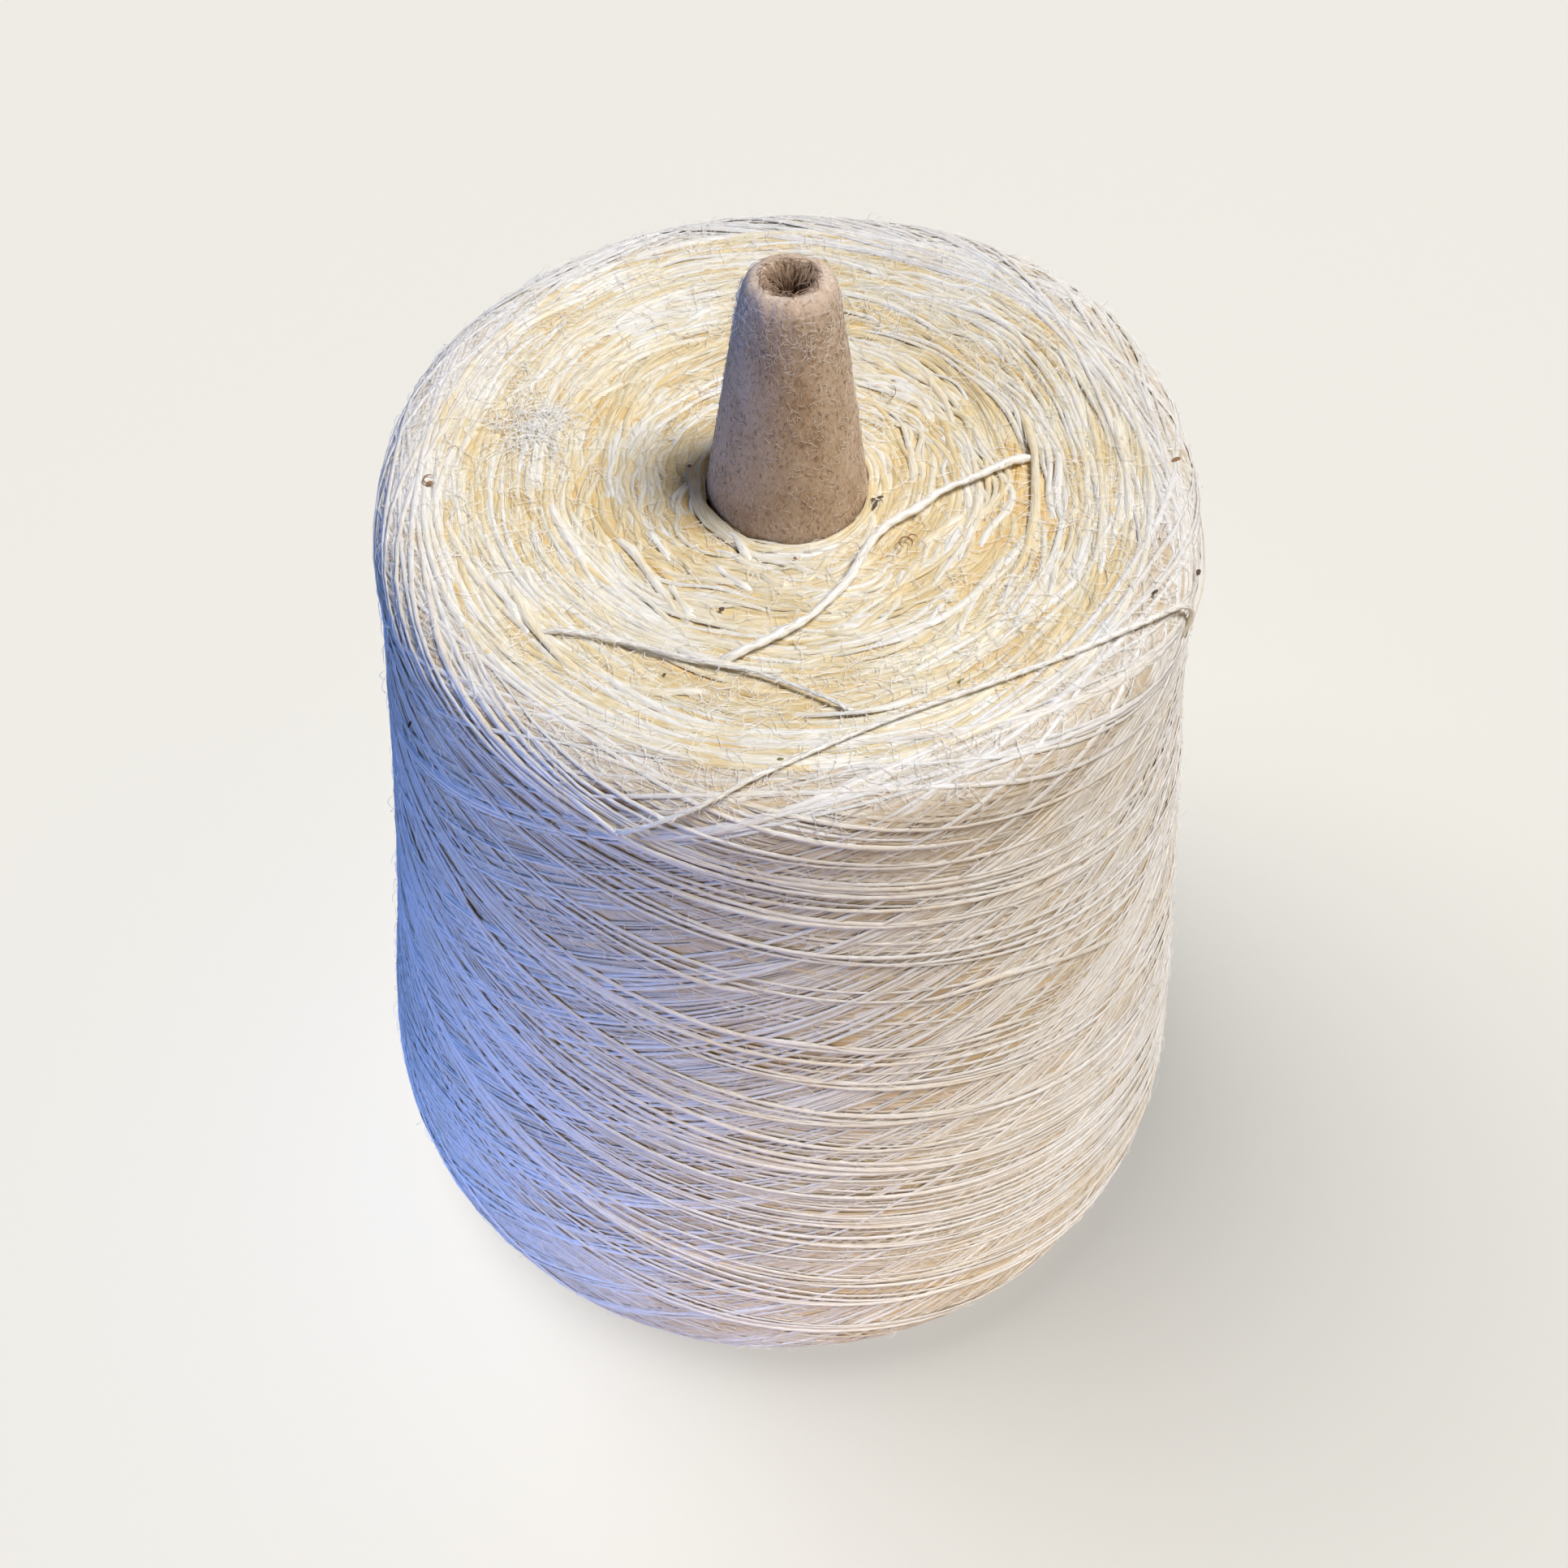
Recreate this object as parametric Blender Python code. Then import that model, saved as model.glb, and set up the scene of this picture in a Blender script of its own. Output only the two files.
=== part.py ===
"""Cross-wound cone of silky slub yarn: a tapered paper winding cone, the yarn package wound on it,
and three stretches of the same yarn that lie loose on the package's top face.

Metres, +Z up. The origin is the centre of the circle that the paper cone stands on. +Z is the
winding axis, and everything but the loose strands is turned about it. -Y is the front.
"""

import math

import bmesh
import bpy
from mathutils import Vector

# Driving dimensions, in metres.
CONE_HEIGHT = 0.1955
CONE_FOOT_RADIUS = 0.0352
CONE_HALF_ANGLE = math.radians(8.45)
PAPER_WALL = 0.0018
NOSE_ROUNDING = 0.0019
NOSE_HOLE_RADIUS = 0.0019
NOSE_ROLL_DEPTH = 0.0085
BORE_GAP = 0.0003

# The package: heights on its axis, and the face and flank that the winding leaves, as (radius, height).
PACKAGE_BOTTOM = 0.0045
PACKAGE_TOP_AT_CONE = 0.1596
TOP_FACE = [(0.0170, 0.1598), (0.0260, 0.1602), (0.0380, 0.1608), (0.0480, 0.1614), (0.0525, 0.16155)]
RIM_ROUNDING = [(0.0553, 0.1611), (0.0574, 0.1598), (0.0586, 0.1575), (0.0591, 0.1540)]
FLANK = [(0.0596, 0.1460), (0.0620, 0.1280), (0.0661, 0.0990), (0.0721, 0.0622), (0.0771, 0.0360)]
BELLY = [(0.0797, 0.0185), (0.0792, 0.0132), (0.0769, 0.0092), (0.0735, 0.0069), (0.0690, 0.0059)]
SPLINE_STEPS = 2

# The loose stretches of yarn: diameter, then the points that each one passes, from where it comes out
# of the winding to where it goes back in.
SLACK_STRAND = 0.0012
SLACK_ROUTE = [
    (0.0352, 0.0042, 0.1617),
    (0.0331, 0.0033, 0.1619),
    (0.0298, 0.0015, 0.1618),
    (0.0268, -0.0003, 0.1617),
    (0.0219, -0.0029, 0.1615),
    (0.0183, -0.0061, 0.1613),
    (0.0147, -0.0087, 0.1612),
    (0.0121, -0.0117, 0.1612),
    (0.0102, -0.0155, 0.1613),
    (0.0086, -0.0192, 0.1614),
    (0.0061, -0.0228, 0.1615),
    (0.0030, -0.0266, 0.1617),
    (-0.0006, -0.0293, 0.1618),
    (-0.0038, -0.0315, 0.1619),
    (-0.0070, -0.0332, 0.1619),
    (-0.0088, -0.0341, 0.1617),
]
THIN_STRAND = 0.0007
THIN_ROUTE = [
    (-0.0329, -0.0292, 0.1619),
    (-0.0310, -0.0294, 0.1620),
    (-0.0256, -0.0302, 0.1619),
    (-0.0199, -0.0316, 0.1618),
    (-0.0148, -0.0332, 0.1618),
    (-0.0098, -0.0346, 0.1617),
    (-0.0043, -0.0359, 0.1617),
    (0.0003, -0.0377, 0.1618),
    (0.0044, -0.0398, 0.1620),
    (0.0080, -0.0415, 0.1620),
    (0.0095, -0.0421, 0.1619),
]
EDGE_STRAND = 0.0008
EDGE_ROUTE = [
    (0.0552, -0.0236, 0.1545),
    (0.0553, -0.0226, 0.1566),
    (0.0547, -0.0222, 0.1589),
    (0.0526, -0.0235, 0.1610),
    (0.0484, -0.0266, 0.1622),
    (0.0429, -0.0298, 0.1626),
    (0.0375, -0.0326, 0.1625),
    (0.0309, -0.0358, 0.1624),
    (0.0232, -0.0392, 0.1623),
    (0.0151, -0.0429, 0.1623),
    (0.0087, -0.0462, 0.1624),
    (0.0025, -0.0496, 0.1625),
    (-0.0040, -0.0533, 0.1625),
    (-0.0076, -0.0554, 0.1619),
    (-0.0115, -0.0569, 0.1607),
    (-0.0155, -0.0574, 0.1586),
    (-0.0191, -0.0570, 0.1561),
    (-0.0222, -0.0561, 0.1532),
]
STRAND_STEP_DIAMETERS = 3.0

TURNED_SEGMENTS = 60


def clear_scene():
    for obj in list(bpy.data.objects):
        bpy.data.objects.remove(obj, do_unlink=True)


def material(name, colour, roughness):
    mat = bpy.data.materials.new(name)
    mat.use_nodes = True
    shader = mat.node_tree.nodes["Principled BSDF"]
    shader.inputs["Base Color"].default_value = (*colour, 1.0)
    shader.inputs["Roughness"].default_value = roughness
    shader.inputs["Metallic"].default_value = 0.0
    return mat


def arc(centre, radius, start, end, count):
    """Points from start to end, in degrees from +X, on a circle in the (radius, height) plane."""
    angles = [math.radians(start + (end - start) * i / (count - 1)) for i in range(count)]
    return [(centre[0] + radius * math.cos(a), centre[1] + radius * math.sin(a)) for a in angles]


def spline(points, steps):
    """A smooth curve through the points, with the given number of steps from each to the next."""
    points = [Vector(p) for p in points]
    found = []
    for i in range(len(points) - 1):
        before = points[max(i - 1, 0)]
        start, end = points[i], points[i + 1]
        after = points[min(i + 2, len(points) - 1)]
        for step in range(steps):
            t = step / steps
            found.append(
                0.5
                * (
                    2.0 * start
                    + (end - before) * t
                    + (2.0 * before - 5.0 * start + 4.0 * end - after) * t**2
                    + (3.0 * start - before - 3.0 * end + after) * t**3
                )
            )
    found.append(points[-1])
    return found


def turned(name, outline, mat):
    """A closed outline of (radius, height) points, spun once about the axis."""
    bm = bmesh.new()
    verts = [bm.verts.new((p[0], 0.0, p[1])) for p in outline]
    edges = [bm.edges.new((verts[i - 1], verts[i])) for i in range(len(verts))]
    bmesh.ops.spin(
        bm,
        geom=verts + edges,
        cent=(0.0, 0.0, 0.0),
        axis=(0.0, 0.0, 1.0),
        angle=math.tau,
        steps=TURNED_SEGMENTS,
    )
    bmesh.ops.remove_doubles(bm, verts=bm.verts, dist=1e-6)
    bmesh.ops.recalc_face_normals(bm, faces=bm.faces)
    mesh = bpy.data.meshes.new(name)
    bm.to_mesh(mesh)
    bm.free()
    mesh.shade_smooth()
    mesh.set_sharp_from_angle(angle=math.radians(40.0))
    mesh.materials.append(mat)
    obj = bpy.data.objects.new(name, mesh)
    bpy.context.scene.collection.objects.link(obj)
    return obj


def cone_radius(height):
    """Outer radius of the paper cone."""
    return CONE_FOOT_RADIUS - height * math.tan(CONE_HALF_ANGLE)


def make_paper_cone(mat):
    """Thin paper wall, open at the foot, with its nose rolled inwards into a short funnel."""
    wall = PAPER_WALL / math.cos(CONE_HALF_ANGLE)
    lip_height = CONE_HEIGHT - NOSE_ROUNDING
    lip_radius = cone_radius(lip_height) - NOSE_ROUNDING / math.cos(CONE_HALF_ANGLE)
    lip = arc((lip_radius, lip_height), NOSE_ROUNDING, math.degrees(CONE_HALF_ANGLE), 150.0, 9)
    roll_end = CONE_HEIGHT - NOSE_ROLL_DEPTH
    roll_outside = NOSE_HOLE_RADIUS + PAPER_WALL
    pocket_top = lip_height - NOSE_ROUNDING
    throat = [
        (NOSE_HOLE_RADIUS + 0.0004, CONE_HEIGHT - 0.0024),
        (NOSE_HOLE_RADIUS, CONE_HEIGHT - 0.0040),
        (NOSE_HOLE_RADIUS, roll_end + 0.0005),
        (NOSE_HOLE_RADIUS + 0.0005, roll_end),
        (roll_outside - 0.0005, roll_end),
        (roll_outside, roll_end + 0.0005),
        (roll_outside, pocket_top - 0.0006),
        (roll_outside + 0.0004, pocket_top),
        (cone_radius(pocket_top) - wall - 0.0004, pocket_top),
    ]
    inside = [(cone_radius(h) - wall, h) for h in (pocket_top - 0.0006, 0.120, 0.060, 0.0)]
    outside = [(cone_radius(h), h) for h in (0.0, 0.060, 0.120)]
    return turned("paper_cone", outside + lip + throat + inside, mat)


def make_wound_yarn(mat):
    """The wound package, a hair clear of the cone that it is wound on."""
    gap = BORE_GAP / math.cos(CONE_HALF_ANGLE)
    top_inner = (cone_radius(PACKAGE_TOP_AT_CONE) + gap, PACKAGE_TOP_AT_CONE)
    bottom_inner = (cone_radius(PACKAGE_BOTTOM) + gap, PACKAGE_BOTTOM)
    shape = [top_inner, *TOP_FACE, *RIM_ROUNDING, *FLANK, *BELLY, bottom_inner]
    return turned("wound_yarn", spline(shape, SPLINE_STEPS), mat)


def make_strand(name, diameter, route, mat):
    """A loose stretch of yarn as a round tube along a smooth curve through its route."""
    fine = spline(route, 24)
    length = sum((b - a).length for a, b in zip(fine, fine[1:]))
    count = max(2, round(length / (STRAND_STEP_DIAMETERS * diameter)) + 1)
    step = length / (count - 1)
    points = [fine[0]]
    walked = 0.0
    for a, b in zip(fine, fine[1:]):
        piece = (b - a).length
        while len(points) < count - 1 and walked + piece >= step * len(points):
            share = (step * len(points) - walked) / piece
            points.append(a.lerp(b, share))
        walked += piece
    points.append(fine[-1])
    curve = bpy.data.curves.new(name, "CURVE")
    curve.dimensions = "3D"
    curve.bevel_depth = diameter / 2.0
    curve.bevel_resolution = 2
    curve.use_fill_caps = True
    path = curve.splines.new("POLY")
    path.points.add(len(points) - 1)
    for point, place in zip(path.points, points):
        point.co = (*place, 1.0)
    path.use_smooth = True
    curve.materials.append(mat)
    obj = bpy.data.objects.new(name, curve)
    bpy.context.scene.collection.objects.link(obj)
    return obj


def main():
    clear_scene()
    make_paper_cone(material("tan_paper", (0.42, 0.30, 0.20), 0.85))
    make_wound_yarn(material("cream_yarn", (0.80, 0.74, 0.58), 0.45))
    make_strand("slack_strand", SLACK_STRAND, SLACK_ROUTE, material("cream_slub", (0.86, 0.82, 0.68), 0.42))
    make_strand("thin_strand", THIN_STRAND, THIN_ROUTE, material("cream_thin", (0.82, 0.79, 0.68), 0.42))
    make_strand("edge_strand", EDGE_STRAND, EDGE_ROUTE, material("cream_edge", (0.84, 0.80, 0.67), 0.42))


main()
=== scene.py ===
import math

import bpy
import numpy as np
from mathutils import Matrix, Vector


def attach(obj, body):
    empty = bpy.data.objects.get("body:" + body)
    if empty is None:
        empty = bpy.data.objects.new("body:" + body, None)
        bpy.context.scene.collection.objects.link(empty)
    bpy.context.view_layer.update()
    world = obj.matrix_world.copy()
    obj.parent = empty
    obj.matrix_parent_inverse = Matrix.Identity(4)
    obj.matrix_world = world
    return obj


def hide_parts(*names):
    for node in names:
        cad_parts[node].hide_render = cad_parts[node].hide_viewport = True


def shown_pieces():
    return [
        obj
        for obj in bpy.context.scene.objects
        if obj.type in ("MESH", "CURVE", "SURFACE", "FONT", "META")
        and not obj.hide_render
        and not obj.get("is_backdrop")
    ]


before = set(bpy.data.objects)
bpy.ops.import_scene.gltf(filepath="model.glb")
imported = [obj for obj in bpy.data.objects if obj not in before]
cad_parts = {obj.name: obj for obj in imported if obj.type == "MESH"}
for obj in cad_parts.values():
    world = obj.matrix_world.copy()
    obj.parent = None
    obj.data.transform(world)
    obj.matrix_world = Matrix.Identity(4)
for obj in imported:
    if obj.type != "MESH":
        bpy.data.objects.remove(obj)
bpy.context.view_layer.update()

RNG = np.random.default_rng(5)
MM = 0.001
TAU = 2.0 * math.pi
UP = [0.0, 0.0, 1.0]
WHITE = (1.0, 1.0, 1.0)

CONE_FOOT_RADIUS = 0.0352
CONE_HEIGHT = 0.1955
CONE_SLOPE = math.tan(math.radians(8.45))
PAPER_WALL = 1.8 * MM
FACE_TURN_WIDTH = 0.88 * MM
BORE_TURN_WIDTH = 0.72 * MM
BED_LIFT = -0.31 * MM

# How far the winding stands proud of a true turned shape, and where.
SWELLING = 2.0 * MM
SWELLING_ANGLE = math.radians(42.0)
SWELLING_SPREAD = math.radians(30.0)
BACK_FULLNESS = 1.25 * MM
RIGHT_FULLNESS = 1.0 * MM


# ---- small helpers

def eased(share):
    """0 to 1, with a soft start and a soft end."""
    return share**2 * (3.0 - 2.0 * share)


def cone_radius(height):
    """Outer radius of the paper cone."""
    return CONE_FOOT_RADIUS - height * CONE_SLOPE


def on_cone(angle, height, lift):
    """Places this far off the paper cone's outside, and the outward directions there."""
    radius = cone_radius(height) + lift
    c, s = np.cos(angle), np.sin(angle)
    places = np.stack([radius * c, radius * s, height], axis=-1)
    return places, np.stack([c, s, np.full_like(c, CONE_SLOPE)], axis=-1)


def run_along(points):
    """How far along the path each of its points lies."""
    return np.r_[0.0, np.cumsum(np.linalg.norm(np.diff(points, axis=0), axis=1))]


def fill(target, name, values, kind=np.float32):
    """Writes one value, or one row of them, for every element of a mesh."""
    target.foreach_set(name, np.asarray(values, kind).ravel())


def new_object(name, data):
    obj = bpy.data.objects.new(name, data)
    bpy.context.scene.collection.objects.link(obj)
    return obj


def look_along(obj, direction):
    """Turns a camera or a light."""
    obj.rotation_mode = "QUATERNION"
    obj.rotation_quaternion = Vector(direction).to_track_quat("-Z", "Y")


def vertices_of(obj):
    return np.array([v.co for v in obj.data.vertices])


def move_vertices(obj, co):
    fill(obj.data.vertices, "co", co)
    obj.data.update()


# ---- camera

def set_up_camera():
    """Looks down at the front of the package from a bit over its nose."""
    aim = Vector((0.0, 0.0, 0.0840))
    distance = 0.3046
    elevation = math.radians(55.46)
    roll = math.radians(0.64)
    back = Vector((0.0, -math.cos(elevation), math.sin(elevation)))
    data = bpy.data.cameras.new("camera")
    data.lens = 39.13
    data.sensor_width = 36.0
    data.clip_start = 0.01
    data.clip_end = 20.0
    camera = new_object("camera", data)
    camera.location = aim + back * distance
    look_along(camera, -back)
    camera.rotation_quaternion = camera.rotation_quaternion @ Matrix.Rotation(roll, 3, "Z").to_quaternion()
    bpy.context.scene.camera = camera


set_up_camera()


# ---- the package's own surface

class PackageSurface:
    """The outline of the wound package, read from its solid, as a surface to lay yarn on.

    A place on it is (along, angle, lift): metres along the outline from the bore's lower edge, out over
    the bottom face, up the flank and in over the top face to the cone; the angle about the axis; and the
    height above the surface.
    """

    def __init__(self):
        verts = vertices_of(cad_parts["wound_yarn"])
        keep = (np.abs(verts[:, 1]) < 1e-5) & (verts[:, 0] > 0.0)
        points = np.unique(np.round(verts[keep][:, [0, 2]], 6), axis=0)
        middle = np.array([0.045, 0.080])
        turn = np.arctan2(*(points - middle).T[::-1])
        points = points[np.argsort(turn)]
        run = run_along(points)
        self.length = run[-1]
        self.along = np.linspace(0.0, self.length, 1200)
        self.radius = self.soften(np.interp(self.along, run, points[:, 0]))
        self.height = self.soften(np.interp(self.along, run, points[:, 1]))
        slope = np.c_[np.gradient(self.radius), np.gradient(self.height)]
        slope /= np.linalg.norm(slope, axis=1)[:, None]
        self.out_radial = slope[:, 1]
        self.out_up = -slope[:, 0]
        self.rim = self.along[np.argmax(self.height)]
        self.belly = self.along[np.argmax(self.radius)]

    @staticmethod
    def soften(values, width=15):
        padded = np.pad(values, width, mode="reflect", reflect_type="odd")
        kernel = np.ones(2 * width + 1) / (2 * width + 1)
        return np.convolve(padded, kernel, mode="valid")

    @staticmethod
    def band(along, middle, offsets):
        """1 between the inner two of four places along the outline, fading to 0 at the outer two."""
        return eased(np.interp(along, middle + np.array(offsets) * MM, [0.0, 1.0, 1.0, 0.0]))

    def uneven(self, along, angle):
        """How far the winding stands proud of a true turned shape: most at the back right of the rim."""
        near_rim = self.band(along, self.rim, (-60.0, -7.0, 3.0, 26.0))
        on_flank = self.band(along, self.belly, (15.0, 45.0, 85.0, 112.0))
        from_swelling = (angle - SWELLING_ANGLE + math.pi) % TAU - math.pi
        swelling = SWELLING * np.exp(-((from_swelling / SWELLING_SPREAD) ** 2))
        back = BACK_FULLNESS * eased(np.clip((np.sin(angle) + 0.1) / 0.7, 0.0, 1.0))
        right = RIGHT_FULLNESS * np.clip(np.cos(angle), 0.0, 1.0) ** 2
        return near_rim * (swelling + back) + on_flank * right

    def at(self, along, angle, lift):
        """Positions and outward directions."""
        radial = np.interp(along, self.along, self.out_radial)
        up = np.interp(along, self.along, self.out_up)
        lift = lift + self.uneven(along, angle)
        r = np.interp(along, self.along, self.radius) + lift * radial
        z = np.interp(along, self.along, self.height) + lift * up
        c, s = np.cos(angle), np.sin(angle)
        place = np.stack([r * c, r * s, z], axis=-1)
        out = np.stack([radial * c, radial * s, up], axis=-1)
        return place, out

    def radius_at(self, along):
        return np.interp(along, self.along, self.radius)

    def along_at_radius_on_top(self, radius):
        """Where on the top face the surface has this radius."""
        top = self.along >= self.rim
        return np.interp(-np.asarray(radius), -self.radius[top], self.along[top])

    def along_at_height_on_flank(self, height):
        flank = (self.along >= self.belly) & (self.along <= self.rim)
        return np.interp(np.asarray(height), self.height[flank], self.along[flank])

    def along_at_radius_underneath(self, radius):
        under = self.along <= self.belly
        return np.interp(np.asarray(radius), self.radius[under], self.along[under])


SURFACE = PackageSurface()


# ---- yarn as geometry

YARN_SECTION = [(-1.0, -0.35), (-0.62, 0.62), (0.62, 0.62), (1.0, -0.35)]
HAIR_SECTION = [(-1.0, -0.5), (0.0, 1.0), (1.0, -0.5)]
FEWEST_ROUND_SIDES = 6
PATTERN_RUN = 400.0


def smooth_noise(rng, rows, columns, knots):
    """One smooth random curve of about unit height per row, with this many free values along it."""
    values = rng.normal(size=(rows, knots + 3))
    t = np.linspace(0.0, knots - 1e-6, columns)
    i = t.astype(int)
    f = t - i
    a, b, c, d = (values[:, i + k] for k in range(4))
    total = (1 - f) ** 3 * a + (3 * f**3 - 6 * f**2 + 4) * b
    total = total + (3 * f + 3 * f**2 - 3 * f**3 + 1) * c + f**3 * d
    return total / 3.6


def lay_yarn(name, places, outs, widths, thicknesses, tints, section=YARN_SECTION):
    """A mesh of separate closed strands.

    places and outs hold one row of points per strand, and outward directions. widths and thicknesses are
    per point, tints per strand. The UV map runs along each strand in centimetres and round it from 0 to 1.
    """
    strands, count, _ = places.shape
    sides = len(section)
    tangents = np.gradient(places, axis=1)
    tangents /= np.linalg.norm(tangents, axis=2, keepdims=True) + 1e-12
    across = np.cross(tangents, outs)
    across /= np.linalg.norm(across, axis=2, keepdims=True) + 1e-12
    lifts = np.cross(across, tangents)
    rings = [
        places + across * (widths * 0.5 * a)[..., None] + lifts * (thicknesses * 0.5 * b)[..., None]
        for a, b in section
    ]
    verts = np.stack(rings, axis=2).reshape(-1, 3)
    step = np.linalg.norm(np.diff(places, axis=1), axis=2)
    run = np.concatenate([np.zeros((strands, 1)), np.cumsum(step, axis=1)], axis=1) * 100.0

    starts_at = np.arange(strands) * count * sides
    base = starts_at[:, None, None]
    ring = (np.arange(count - 1) * sides)[None, :, None]
    side = np.arange(sides)[None, None, :]
    after = (side + 1) % sides
    near, far = base + ring, base + ring + sides
    quads = np.stack([near + side, far + side, far + after, near + after], axis=-1).reshape(-1, 4)
    round_it = np.stack([side, side, side + 1, side + 1], axis=-1) / sides
    round_it = np.broadcast_to(round_it, (strands, count - 1, sides, 4)).ravel()
    first = starts_at[:, None] + np.arange(sides)[None, :]
    last = first + (count - 1) * sides
    caps = np.concatenate([first, last[:, ::-1]])

    loops = np.concatenate([quads.ravel(), caps.ravel()])
    starts = np.concatenate([np.arange(len(quads)) * 4, len(quads) * 4 + np.arange(len(caps)) * sides])
    sizes = np.concatenate([np.full(len(quads), 4), np.full(len(caps), sides)])

    mesh = bpy.data.meshes.new(name)
    mesh.vertices.add(len(verts))
    fill(mesh.vertices, "co", verts)
    mesh.loops.add(len(loops))
    fill(mesh.loops, "vertex_index", loops, np.int32)
    mesh.polygons.add(len(starts))
    fill(mesh.polygons, "loop_start", starts, np.int32)
    fill(mesh.polygons, "loop_total", sizes, np.int32)
    fill(mesh.polygons, "use_smooth", np.ones(len(starts)), bool)

    strand = np.repeat(np.arange(strands), count * sides)
    along = np.repeat(run.ravel(), sides) + RNG.uniform(0.0, PATTERN_RUN, strands)[strand]
    uv_round = np.r_[round_it, (caps % sides).ravel() / sides]
    uv = mesh.uv_layers.new(name="strand")
    fill(uv.data, "uv", np.stack([along[loops], uv_round], axis=-1))
    tint = mesh.attributes.new("tint", "FLOAT", "POINT")
    fill(tint.data, "value", np.asarray(tints)[strand])
    mesh.update(calc_edges=True)
    ends = np.empty(len(mesh.edges) * 2, np.int32)
    mesh.edges.foreach_get("vertices", ends)
    ends = ends.reshape(-1, 2)
    on_underside = np.isin(ends[:, 0] % sides, (0, sides - 1)) & (np.abs(ends[:, 0] - ends[:, 1]) == sides)
    sharp = mesh.attributes.new("sharp_edge", "BOOLEAN", "EDGE")
    fill(sharp.data, "value", on_underside & (sides < FEWEST_ROUND_SIDES), bool)
    return new_object(name, mesh)


def taper_ends(count, share=0.04):
    """1 along a strand, falling to nearly nothing at its two ends."""
    t = np.linspace(0.0, 1.0, count)
    return np.clip(np.minimum(t, 1.0 - t) / share, 0.02, 1.0) ** 0.5


def slubs(rng, strands, count, knots, strength=0.22):
    """Thick and thin: a factor on the yarn's width at each point of each strand."""
    return np.clip(0.95 + strength * smooth_noise(rng, strands, count, knots), 0.5, 1.7)


# ---- where the winding lies

def in_sheets(strands, draw):
    """Rows of values for strands in sheets: what is drawn for the sheet, the place in it, and which sheet."""
    rows = []
    while len(rows) < strands:
        sheet, size = draw()
        rows += [(*sheet, member, len(rows)) for member in range(size)]
    return np.array(rows[:strands]).T


def wind_flank(strands, lift_low, lift_high, width, members, falling_lift, rng):
    """Yarn laid crosswise on the flank: up, round the rim, down, round the bottom edge and up again."""
    pitch = 5.4 * MM
    count = 168
    mean_radius = 0.068
    steeper_up, flatter_down = 1.18, -0.84
    low = SURFACE.belly - 11.0 * MM
    high = SURFACE.rim - 1.0 * MM

    def draw():
        size = rng.integers(members[0], members[1] + 1)
        sheet = (
            rng.uniform(0.0, TAU),
            math.radians(rng.normal(19.5, 2.6)),
            rng.uniform(lift_low, lift_high) * MM,
            rng.uniform(low + 0.012, high - 0.012),
            rng.choice([-1.0, 1.0]),
            rng.uniform(0.050, 0.110),
            rng.uniform(1.25, 2.3),
        )
        return sheet, size

    phase, angle, lift, start, rise, turn, spacing, member, _ = in_sheets(strands, draw)
    gap = spacing * width / np.sin(angle) / mean_radius
    phi = phase + member * gap + rng.normal(0.0, 0.10, strands) * gap
    angle = angle * rng.uniform(0.985, 1.015, strands)
    lift = lift + rng.normal(0.0, 0.035 * MM, strands)
    along = start.copy()
    slope = angle * rise
    going = rise.copy()
    top_stop = high + rng.uniform(-6.0, 2.0, strands) * MM
    low_stop = low + rng.uniform(-2.5, 2.0, strands) * MM
    margin = turn * (1.0 - np.cos(angle))
    change = pitch / turn
    rows_along = np.empty((strands, count))
    rows_phi = np.empty((strands, count))
    rows_falling = np.empty((strands, count))
    for k in range(count):
        rows_along[:, k] = along
        rows_phi[:, k] = phi
        rows_falling[:, k] = -slope / angle
        turning_down = (going > 0) & (along > top_stop - margin)
        turning_up = (going < 0) & (along < low_stop + margin)
        going = np.where(turning_down, -1.0, np.where(turning_up, 1.0, going))
        target = np.where(going > 0, steeper_up, flatter_down) * angle
        slope = slope + np.clip(target - slope, -change, change)
        along = along + pitch * np.sin(slope)
        phi = phi + pitch * np.cos(slope) / SURFACE.radius_at(along)
    rows_lift = lift[:, None] + 0.05 * MM * smooth_noise(rng, strands, count, 40)
    rows_lift += falling_lift * MM * rows_falling - 1.2 * MM * (1.0 - taper_ends(count, 0.05))
    rows_along = rows_along + 0.22 * MM * smooth_noise(rng, strands, count, 22)
    return SURFACE.at(rows_along, rows_phi, rows_lift)


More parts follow.
